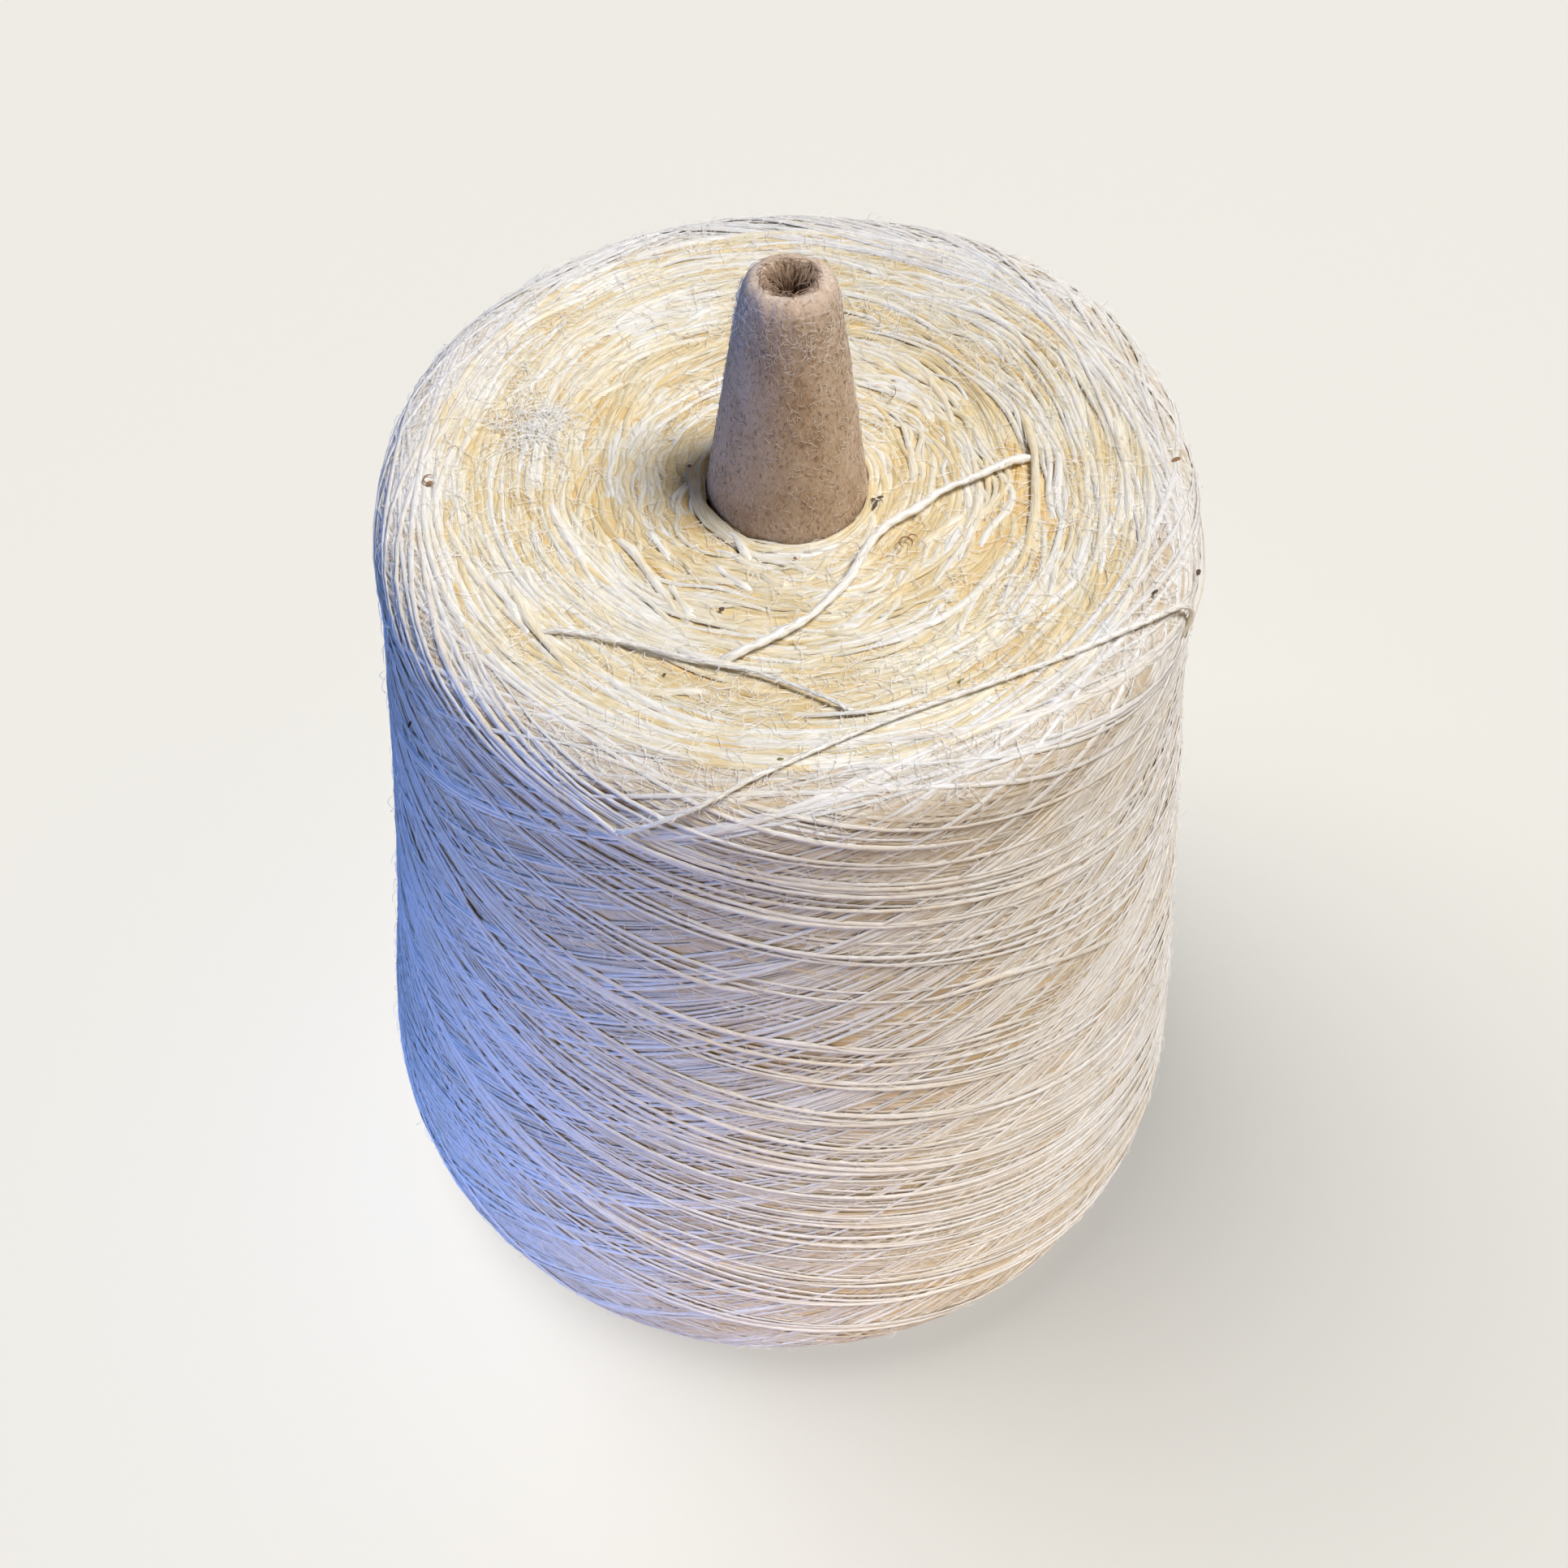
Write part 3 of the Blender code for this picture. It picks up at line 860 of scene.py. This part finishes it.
# The same on the flank, with a height in mm in place of the radius.
FLANK_STANDOUTS = [
    [(157.0, -120, 0.1), (155.3, -114, 0.5), (153.0, -109, 0.8), (150.0, -101, 0.3), (147.3, -92),
     (142.2, -75)],
    [(148.0, -30, 0.1), (152.4, -19, 0.5), (154.6, -13, 0.85), (155.6, -7, 0.5), (156.2, 3, 0.1)],
    [(132.1, -127), (130.4, -116), (126.4, -105), (124.5, -99), (123.3, -90)],
    [(119.9, -120), (119.0, -114), (116.3, -107)],
    [(114.8, -105), (113.5, -97), (111.0, -86), (108.0, -80), (105.7, -73)],
    [(94.8, -131), (91.0, -126), (87.3, -120), (84.6, -114), (83.5, -99), (81.5, -89)],
    [(105.7, -119), (101.7, -111), (99.1, -102), (96.8, -92)],
    [(65.7, -132), (60.1, -124), (56.3, -117), (48.1, -109), (44.3, -101)],
    [(110.1, -84), (108.0, -78), (104.9, -69), (103.2, -60), (97.5, -50)],
    [(118.5, -76), (117.0, -69), (115.5, -59), (108.0, -46), (96.6, -31)],
    [(40.7, -106), (46.2, -100), (52.2, -90), (57.7, -81), (66.4, -69), (78.7, -45), (86.5, -35)],
    [(119.2, -150), (117.0, -141), (111.1, -134), (107.2, -128), (105.7, -121)],
]


def lay_turns(name, places, outs, widths, mat, rng, flatness=TOP_FLATNESS):
    piece = lay_yarn(name, places, outs, widths, widths * flatness, tints_for(rng, len(places)))
    finish_piece(piece, mat)


def build_windings():
    for index, (strands, low, high, width, members, falling, flatness, mat) in enumerate(FLANK_LAYERS):
        rng = np.random.default_rng(100 + index)
        places, outs = wind_flank(strands, low, high, width * MM, members, falling, rng)
        widths = width * MM * slubs(rng, strands, places.shape[1], 40)
        lay_turns(f"flank_winding_{index + 1}", places, outs, widths, mat, rng, flatness)
    for index, (strands, low, high, mat) in enumerate(TOP_LAYERS):
        rng = np.random.default_rng(200 + index)
        places, outs = arcs_on_face(strands, 0.0125, 0.0565, low, high, rng)
        widths = FACE_TURN_WIDTH * slubs(rng, strands, places.shape[1], 7)
        lay_turns(f"top_turns_{index + 1}", places, outs, widths, mat, rng)
    rng = np.random.default_rng(300)
    places, outs = arcs_on_face(BOTTOM_TURNS, 0.036, 0.0755, -0.34, 0.0, rng, on_top=False)
    widths = FACE_TURN_WIDTH * slubs(rng, BOTTOM_TURNS, places.shape[1], 7)
    lay_turns("bottom_turns", places, outs, widths, FLANK_PAINTED_SHADE, rng)


def build_standouts():
    """The few turns that lie clear of the rest, each seen from end to end."""
    count = 40
    for name, turns, width, mat, to_along in (
        ("top_standout_turns", TOP_STANDOUTS, 1.15 * MM, TOP_PAINTED_HIGHLIGHT, SURFACE.along_at_radius_on_top),
        ("flank_standout_turns", FLANK_STANDOUTS, 0.80 * MM, FLANK_PAINTED_HIGHLIGHT, SURFACE.along_at_height_on_flank),
    ):
        rng = np.random.default_rng(320)
        rows = []
        for turn in turns:
            points = [
                (to_along(place * MM), math.radians(degrees), (lift[0] if lift else STANDOUT_LIFT) * MM)
                for place, degrees, *lift in turn
            ]
            rows.append(evenly_numbered(smooth_path(points, 12), count))
        rows = np.array(rows)
        lifts = rows[..., 2] - 0.75 * MM * (1.0 - taper_ends(count, 0.22))
        places, outs = SURFACE.at(rows[..., 0], rows[..., 1], lifts)
        widths = width * slubs(rng, len(rows), count, 6) * (0.4 + 0.6 * taper_ends(count, 0.2))
        lay_turns(name, places, outs, widths, mat, rng, 0.5)


def build_foot_turns():
    """Yarn drawn tight round the cone, where it comes out of the top face."""
    rng = np.random.default_rng(330)
    strands, count = 70, 24
    t = np.linspace(-1.0, 1.0, count)[None, :]
    lift = rng.uniform(-0.30, 0.45, strands)[:, None] * MM - 0.8 * MM * np.abs(t) ** 4
    radius = rng.uniform(12.05, 13.6, strands)[:, None] * MM
    radius = radius + 0.25 * MM * smooth_noise(rng, strands, count, 4)
    radius = np.maximum(radius, 11.95 * MM)
    angle = rng.uniform(0.0, TAU, strands)[:, None] + rng.uniform(0.35, 0.95, strands)[:, None] * t
    places, outs = SURFACE.at(SURFACE.along_at_radius_on_top(radius), angle, lift)
    lay_turns("foot_turns", places, outs, 0.85 * MM * slubs(rng, strands, count, 6), TOP_PAINTED_SUNLIT, rng, 0.55)


def build_bore_winding():
    """The innermost turns, laid crosswise against the paper cone."""
    rng = np.random.default_rng(310)
    strands, count = 96, 60
    low, high = 0.0062, 0.1580
    t = np.linspace(0.0, 1.0, count)[None, :]
    upward = rng.choice([-1.0, 1.0], strands)[:, None]
    height = low + (high - low) * np.where(upward > 0, t, 1.0 - t)
    lift = rng.uniform(0.30, 0.55, strands)[:, None] * MM
    mean_radius = 0.024
    turn = (high - low) / math.tan(math.radians(28.0)) * t / mean_radius
    angle = rng.uniform(0.0, TAU, strands)[:, None] + turn
    places, outs = on_cone(angle, height, lift)
    widths = BORE_TURN_WIDTH * slubs(rng, strands, count, 12)
    lay_turns("bore_turns", places, -outs, widths, FLANK_PAINTED_SHADE, rng, 0.3)


build_bed()
build_windings()
build_standouts()
build_foot_turns()
build_bore_winding()


# ---- the paper cone

def start_ring(vertices, radius):
    bpy.ops.object.select_all(action="DESELECT")
    bpy.ops.mesh.primitive_circle_add(vertices=vertices, radius=radius)
    bpy.ops.object.mode_set(mode="EDIT")
    bpy.ops.mesh.select_all(action="SELECT")


def pull_ring(radius, height, to_radius, to_height):
    """Draws the open edge on to its next radius and height."""
    bpy.ops.mesh.extrude_region_move(TRANSFORM_OT_translate={"value": (0.0, 0.0, to_height - height)})
    k = to_radius / radius
    bpy.ops.transform.resize(value=(k, k, 1.0), center_override=(0.0, 0.0, 0.0))


def build_paper_cone():
    """A paper wall with its nose rolled over and pushed in as a short rough funnel."""
    heights = (0.0, 0.0004, 0.04, 0.08, 0.12, 0.155, 0.160, 0.165, 0.172, 0.180, 0.187)
    # The nose, the funnel and the paper's end under it, as radius and height above the top, in mm.
    rolled = [
        (6.98, -6.0), (6.66, -4.2), (6.38, -2.7), (6.02, -1.40), (5.48, -0.55), (4.82, -0.10), (4.15, 0.05),
        (3.60, -0.05), (3.10, -0.30), (2.75, -0.8), (2.45, -1.6), (2.20, -2.7), (1.95, -4.0), (1.80, -8.0),
        (2.5, -8.5), (3.5, -8.3), (3.8, -7.6), (3.9, -5.0), (4.2, -4.2),
    ]
    steps = [(cone_radius(h), h) for h in heights]
    steps += [(r * MM, CONE_HEIGHT + z * MM) for r, z in rolled]
    steps += [(cone_radius(h) - PAPER_WALL, h) for h in (0.187, 0.150, 0.100, 0.050, 0.0004, 0.0)]
    start_ring(96, steps[0][0])
    for (radius, height), (to_radius, to_height) in zip(steps, steps[1:]):
        pull_ring(radius, height, to_radius, to_height)
    pull_ring(*steps[-1], *steps[0])
    bpy.ops.mesh.select_all(action="SELECT")
    bpy.ops.mesh.remove_doubles(threshold=0.00001)
    bpy.ops.mesh.normals_make_consistent(inside=False)
    bpy.ops.object.mode_set(mode="OBJECT")
    cone = bpy.context.active_object
    cone.name = "rolled_paper_cone"
    smoothing = cone.modifiers.new("smoothing", "SUBSURF")
    smoothing.levels = 1
    bpy.ops.object.modifier_apply(modifier=smoothing.name)
    roughen_nose(cone)
    bpy.ops.object.shade_smooth()
    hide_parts("paper_cone")
    finish_piece(cone, paper_material(), "cone", "winding_cone")


def roughen_nose(cone):
    """Soft dents over the nose, a ragged funnel that leans forward, and a wall that is never quite round."""
    rng = np.random.default_rng(41)
    co = vertices_of(cone)
    angle = np.arctan2(co[:, 1], co[:, 0])
    below = (CONE_HEIGHT - co[:, 2]) / MM
    radius = np.hypot(co[:, 0], co[:, 1]) / MM
    near_nose = np.clip(1.0 - below / 9.0, 0.0, 1.0)
    swell = np.zeros(len(co))
    for waves, size in ((2, 0.07), (3, 0.07), (5, 0.06), (9, 0.05), (17, 0.05), (29, 0.04)):
        drift = rng.uniform(0.0, TAU) + below * rng.normal(0.0, 0.5)
        swell += size * np.sin(waves * angle + drift)
    in_funnel = (radius < 3.4) & (below < 8.4)
    on_lip = np.clip(1.0 - below / 3.5, 0.0, 1.0) * ~in_funnel
    # 1 on the lip, where light is painted on; 0 deep in the funnel, where shade is painted in.
    painted_lip_light_and_funnel_shade = 0.5 + 0.5 * on_lip - 0.5 * np.where(in_funnel, np.clip(below / 2.2, 0.0, 1.0), 0.0)
    fill(cone.data.attributes.new("painted_lip_light_and_funnel_shade", "FLOAT", "POINT").data, "value", painted_lip_light_and_funnel_shade)
    grow = 1.0 + swell * near_nose / np.maximum(radius, 1.0) * np.where(in_funnel, 2.4, 1.0)
    co[:, 0] *= grow
    co[:, 1] *= grow
    depth = np.where(in_funnel, np.clip(below / 3.0, 0.0, 1.0), 0.0)
    co[:, 1] -= 0.85 * MM * depth
    co[:, 0] += 0.10 * MM * depth
    ragged = 0.10 * np.sin(angle * 3 + 1.0) + 0.07 * np.sin(angle * 8 + 2.0)
    co[:, 2] += MM * near_nose * ragged * (below < 5.0)
    move_vertices(cone, co)


build_paper_cone()


# ---- stray fibres, fluff and flecks

def build_fuzz():
    """Fine fibres that stand off the yarn."""
    for name, strands, low, high, seed in (
        ("top_fuzz", 6500, SURFACE.rim - 6.0 * MM, SURFACE.length - 0.5 * MM, 400),
        ("flank_fuzz", 6800, SURFACE.belly - 6.0 * MM, SURFACE.rim, 401),
    ):
        rng = np.random.default_rng(seed)
        along = rng.uniform(low, high, strands)
        chosen = rng.uniform(0.0, 1.0, strands) < SURFACE.radius_at(along) / 0.079 + 0.1
        along = np.where(chosen, along, low + (high - low) * rng.uniform(0.0, 0.5, strands))
        angle = rng.uniform(0.0, TAU, strands)
        lengths = rng.uniform(1.5, 5.5, strands) * MM
        places, outs = hairs_on_surface(along, angle, lengths, rng.exponential(0.28, strands) * MM, rng)
        lay_hairs(name, places, outs, 0.072 * MM, STRAY_FIBRE)


FLUFF_RADIUS = 37.5 * MM
FLUFF_ANGLE = math.radians(166.9)


def build_fluff():
    """A patch on the top face that is rubbed up into loose, pale grey curls."""
    rng = np.random.default_rng(402)
    strands, count = 260, 8
    spread = 2.6 * MM * rng.normal(size=(2, strands))
    along = SURFACE.along_at_radius_on_top(FLUFF_RADIUS + spread[0])
    angle = FLUFF_ANGLE + spread[1] / FLUFF_RADIUS
    lengths = rng.uniform(2.0, 5.5, strands) * MM
    places, outs = hairs_on_surface(along, angle, lengths, rng.uniform(0.2, 1.1, strands) * MM, rng, count)
    lay_hairs("fluff_patch", places, outs, 0.085 * MM, plain_material("fluff", (0.86, 0.85, 0.82), 0.4))


def hairs_on_cone(name, strands, low, high, lengths, rise, width, colour, rng):
    """Short fibres on the paper's outside: most lie down, a few stand off it."""
    count = 5
    t = np.linspace(0.0, 1.0, count)[None, :]
    heading = rng.uniform(0.0, TAU, strands)[:, None] + rng.normal(0.0, 1.0, strands)[:, None] * t
    step = rng.uniform(*lengths, strands)[:, None] * MM / (count - 1)
    height = rng.uniform(low, high, strands)[:, None] + np.cumsum(np.sin(heading) * step, axis=1)
    height = np.minimum(height, CONE_HEIGHT - 1.2 * MM)
    angle = rng.uniform(0.0, TAU, strands)[:, None]
    angle = angle + np.cumsum(np.cos(heading) * step, axis=1) / cone_radius(height)
    lift = rng.exponential(rise, strands)[:, None] * MM * np.sin(math.pi * 0.8 * t) + 0.03 * MM
    near_nose = np.clip((height - CONE_HEIGHT + 9.0 * MM) / (9.0 * MM), 0.0, 1.0)
    places, outs = on_cone(angle, height, lift - 0.35 * MM * near_nose**3)
    mat = plain_material(name + "_fibre", colour, 0.6)
    lay_hairs(name, places, outs, width * MM, mat, "cone", "winding_cone")


def build_nap():
    """The paper's soft nap: pale and dark fibres all over it, and longer pale ones on its nose."""
    rng = np.random.default_rng(403)
    hairs_on_cone("paper_nap_pale", 1500, 0.156, 0.193, (0.6, 1.8), 0.06, 0.060, (0.74, 0.66, 0.56), rng)
    hairs_on_cone("paper_nap_dark", 500, 0.156, 0.193, (0.4, 1.2), 0.04, 0.075, (0.22, 0.14, 0.09), rng)
    hairs_on_cone("paper_nap_nose", 700, 0.187, 0.1945, (0.6, 1.8), 0.18, 0.055, (0.78, 0.72, 0.64), rng)


def build_funnel_fibres():
    """Torn brown fibres that hang over the edge of the hole in the nose and into it."""
    rng = np.random.default_rng(404)
    strands, count = 150, 6
    t = np.linspace(0.0, 1.0, count)[None, :]
    angle = rng.uniform(0.0, TAU, strands)[:, None] + rng.normal(0.0, 0.5, strands)[:, None] * t
    inward = rng.uniform(0.5, 2.3, strands)[:, None] * t
    radius = rng.uniform(2.6, 4.4, strands)[:, None] - inward
    depth = np.maximum(0.0, 3.4 - radius) * rng.uniform(0.4, 1.5, strands)[:, None]
    height = 0.10 + 0.35 * np.sin(math.pi * t) * rng.uniform(0.0, 1.0, strands)[:, None] - depth
    places = np.stack([radius * np.cos(angle), radius * np.sin(angle) - 0.1 * depth, height], axis=-1) * MM
    places[..., 2] += CONE_HEIGHT
    mat = plain_material("torn_paper", (0.34, 0.23, 0.15), 0.8)
    outs = np.tile(UP, (strands, count, 1))
    lay_hairs("funnel_fibres", places, outs, 0.09 * MM, mat, "cone", "winding_cone")


build_fuzz()
build_fluff()
build_nap()
build_funnel_fibres()


FLECKS = [
    # x, y, z and length in mm, then how long to how wide, turn in degrees, and which colour
    (12.4, -4.9, 160.5, 1.5, 2.6, 75.0, "dark_bark"),
    (13.1, -3.6, 160.6, 1.0, 2.2, 20.0, "dark_bark"),
    (12.1, -3.9, 160.5, 0.7, 2.0, -30.0, "dark_bark"),
    (-8.6, -24.5, 160.6, 0.8, 1.2, 20.0, "dark_bark"),
    (1.2, -14.9, 160.2, 0.5, 1.2, 0.0, "brown_chaff"),
    (22.7, -36.7, 161.4, 0.9, 2.8, 30.0, "green_chaff"),
    (-0.5, -49.8, 161.8, 0.8, 1.8, 0.0, "green_chaff"),
    (-15.6, -36.1, 161.2, 0.4, 1.2, 0.0, "dark_bark"),
    (55.2, 3.3, 161.7, 1.6, 2.4, 30.0, "brown_chaff"),
    (56.6, -15.5, 158.9, 1.2, 1.8, 70.0, "dark_bark"),
    (49.4, -21.7, 161.9, 1.0, 2.0, 40.0, "dark_bark"),
    (-52.9, -29.9, 141.3, 1.2, 3.0, 80.0, "dark_bark"),
    (-14.0, 2.5, 160.2, 0.7, 1.4, 0.0, "brown_chaff"),
    (-50.1, -3.3, 162.0, 1.1, 1.7, 50.0, "brown_chaff"),
]
CURLS = [
    # the middle in mm, then its radius, thickness, start and end in degrees, and colour
    (16.4, -12.3, 160.9, 0.9, 0.22, -40.0, 250.0, "brown_chaff"),
    (17.4, -11.6, 160.9, 0.7, 0.18, 20.0, 200.0, "brown_chaff"),
    (-50.1, -2.6, 162.2, 0.9, 0.20, 60.0, 330.0, "brown_chaff"),
    (13.2, 17.4, 161.2, 2.6, 0.10, -60.0, 30.0, "brown_chaff"),
    (-47.6, 3.0, 162.0, 1.0, 0.09, 10.0, 150.0, "brown_chaff"),
    (12.6, -4.9, 160.9, 0.8, 0.12, 0.0, 210.0, "dark_bark"),
]
FLECK_COLOURS = {
    "dark_bark": (0.10, 0.065, 0.04),
    "brown_chaff": (0.28, 0.15, 0.07),
    "green_chaff": (0.20, 0.19, 0.07),
}
CURL_POINTS = 14


def build_flecks():
    """Bits of bark, husk and chaff caught in the yarn."""
    finishes = {name: plain_material(name, colour, 0.7) for name, colour in FLECK_COLOURS.items()}
    rng = np.random.default_rng(50)
    for index, (x, y, z, length, slender, turn, colour) in enumerate(FLECKS):
        bpy.ops.mesh.primitive_ico_sphere_add(subdivisions=2, radius=0.5)
        fleck = bpy.context.active_object
        fleck.name = f"fleck_{index + 1}"
        co = vertices_of(fleck)
        co *= rng.uniform(0.75, 1.25, (len(co), 1))
        co *= np.array([length, length / slender, length / slender * 0.7]) * MM
        c, s = math.cos(math.radians(turn)), math.sin(math.radians(turn))
        co = np.stack([co[:, 0] * c - co[:, 1] * s, co[:, 0] * s + co[:, 1] * c, co[:, 2]], axis=-1)
        move_vertices(fleck, co + np.array([x, y, z]) * MM)
        finish_piece(fleck, finishes[colour])
    for index, (x, y, z, radius, thick, start, end, colour) in enumerate(CURLS):
        t = np.radians(np.linspace(start, end, CURL_POINTS))
        height = z - 0.2 + 0.25 * np.sin(np.linspace(0.0, math.pi, CURL_POINTS))
        places = np.stack([x + radius * np.cos(t), y + radius * np.sin(t), height], axis=-1)[None] * MM
        outs = np.tile(UP, (1, CURL_POINTS, 1))
        widths = np.full((1, CURL_POINTS), thick * MM) * taper_ends(CURL_POINTS, 0.2)
        piece = lay_yarn(f"curl_{index + 1}", places, outs, widths, widths, [0.0])
        finish_piece(piece, finishes[colour])


build_flecks()


# ---- floor and light

def build_floor():
    """A pale floor that keeps an even tone, and throws no light of its own back up at the package."""
    bpy.ops.mesh.primitive_plane_add(size=8.0)
    floor = bpy.context.active_object
    floor.name = "floor"
    mat, _, shader = new_material("pale_floor")
    set_inputs(shader, Base_Color=(0.80, 0.78, 0.73, 1.0), Roughness=0.95, Specular_IOR_Level=0.0)
    set_inputs(shader, Emission_Color=(1.0, 0.989, 0.944, 1.0), Emission_Strength=0.441)
    floor.data.materials.append(mat)
    floor.visible_diffuse = False
    floor.visible_glossy = False
    floor.visible_shadow = False
    floor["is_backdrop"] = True
    return floor


def light_group(name, objects):
    group = bpy.data.collections.new(name)
    for obj in objects:
        group.objects.link(obj)
    return group


def new_light(kind, name, direction, strength, colour, lit):
    """A light that shines in this direction, on the objects of one group only."""
    data = bpy.data.lights.new(name, kind)
    data.energy = strength
    data.color = colour
    light = new_object(name, data)
    look_along(light, direction)
    light.light_linking.receiver_collection = lit
    return light


def distant_light(name, towards, strength, colour, softness, lit):
    """A large far-off soft source; towards is the direction that it lies in."""
    light = new_light("SUN", name, -Vector(towards), strength, colour, lit)
    light.data.angle = math.radians(softness)


def glowing_card(name, place, aim, size, watts, colour, lit):
    """A small soft card close by, whose light dies away over the height of the package."""
    light = new_light("AREA", name, Vector(aim) - Vector(place), watts, colour, lit)
    light.data.size = size
    light.location = place
    light.visible_camera = False


def build_studio():
    floor = build_floor()
    world = bpy.data.worlds.new("studio")
    world.use_nodes = True
    set_inputs(world.node_tree.nodes["Background"], Color=(0.863, 0.840, 0.783, 1.0), Strength=1.0)
    bpy.context.scene.world = world
    world.cycles_visibility.diffuse = False
    world.cycles_visibility.glossy = False
    yarn = light_group("lit_object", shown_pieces())
    ground = light_group("lit_floor", [floor])
    front_card = (0.03, -0.22, 0.02), (0.0, -0.07, 0.03)
    left_card = (-0.17, -0.15, 0.02), (-0.05, -0.05, 0.03)
    distant_light("key", (0.43, -0.01, 0.90), 3.56, (0.97, 0.97, 1.00), 24.0, yarn)
    distant_light("front_fill", (0.30, -0.93, 0.12), 0.70, (1.00, 0.78, 0.50), 60.0, yarn)
    distant_light("left_fill", (-0.96, -0.26, 0.0), 1.75, (0.17, 0.37, 1.00), 50.0, yarn)
    glowing_card("low_front_card", *front_card, 0.16, 0.125, (1.00, 0.76, 0.54), yarn)
    glowing_card("low_left_card", *left_card, 0.14, 0.24, (0.17, 0.34, 1.00), yarn)
    distant_light("back_fill", (0.15, 0.98, 0.08), 1.1, (1.0, 0.97, 0.93), 60.0, yarn)
    distant_light("under_fill", (0.0, -0.1, -1.0), 0.7, (1.0, 0.96, 0.90), 80.0, yarn)
    distant_light("floor_light", (-0.45, 0.24, 0.86), 1.9, (1.0, 0.98, 0.95), 50.0, ground)


build_studio()

bpy.context.scene.view_settings.view_transform = "Standard"
